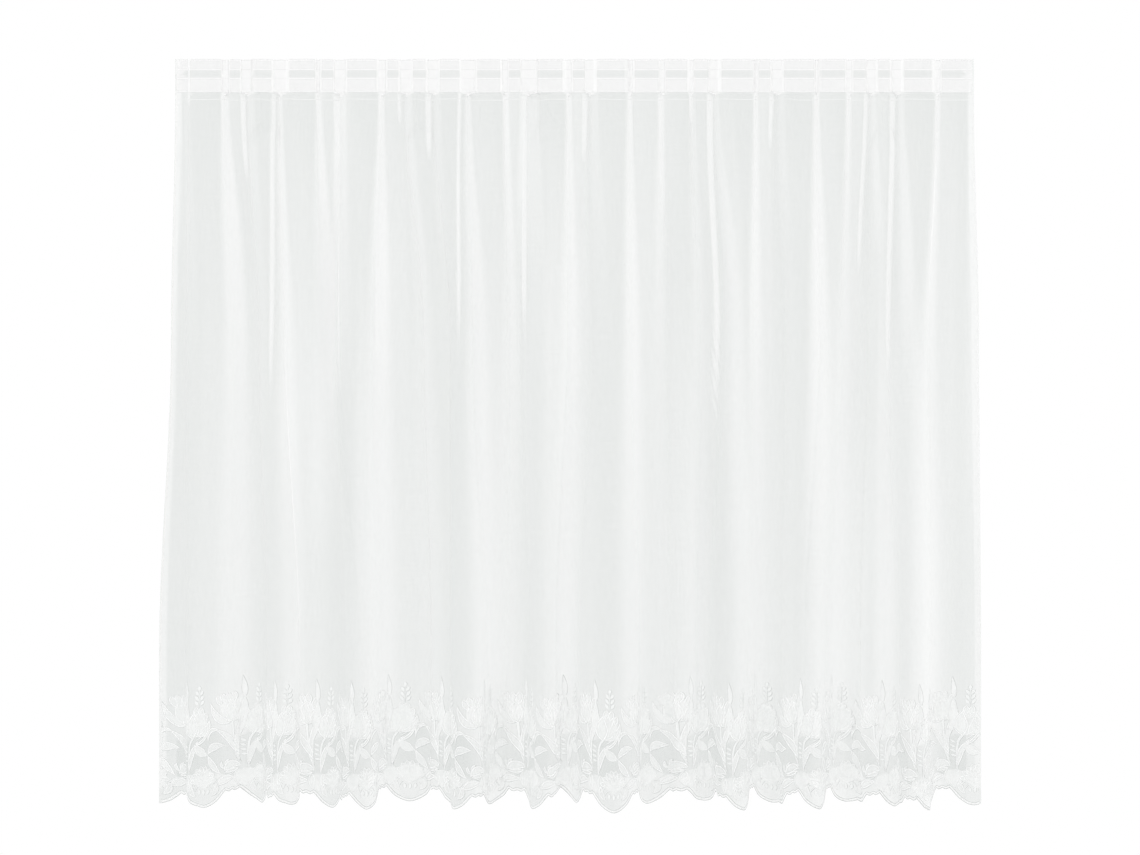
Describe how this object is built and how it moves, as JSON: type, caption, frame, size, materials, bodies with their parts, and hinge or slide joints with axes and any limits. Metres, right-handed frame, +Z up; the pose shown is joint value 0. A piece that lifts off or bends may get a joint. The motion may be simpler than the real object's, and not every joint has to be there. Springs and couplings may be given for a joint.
{
  "type": "lace curtain",
  "caption": "Sheer white net curtain, pleated by its heading tape and hanging in uneven folds to a scalloped hem with a woven flower border.",
  "frame": {"origin": "middle of the top edge, in the plane about which the cloth is folded", "axes": "+X to the right across the curtain as it is seen from the room, +Y away from the room, +Z up"},
  "size_m": [1.5954, 0.0943, 1.44],
  "materials": {
    "net": "matt sheer net",
    "tape": "matt woven tape"
  },
  "bodies": {
    "root": {"curtain_panel": "net", "heading_tape": "tape"}
  },
  "joints": []
}
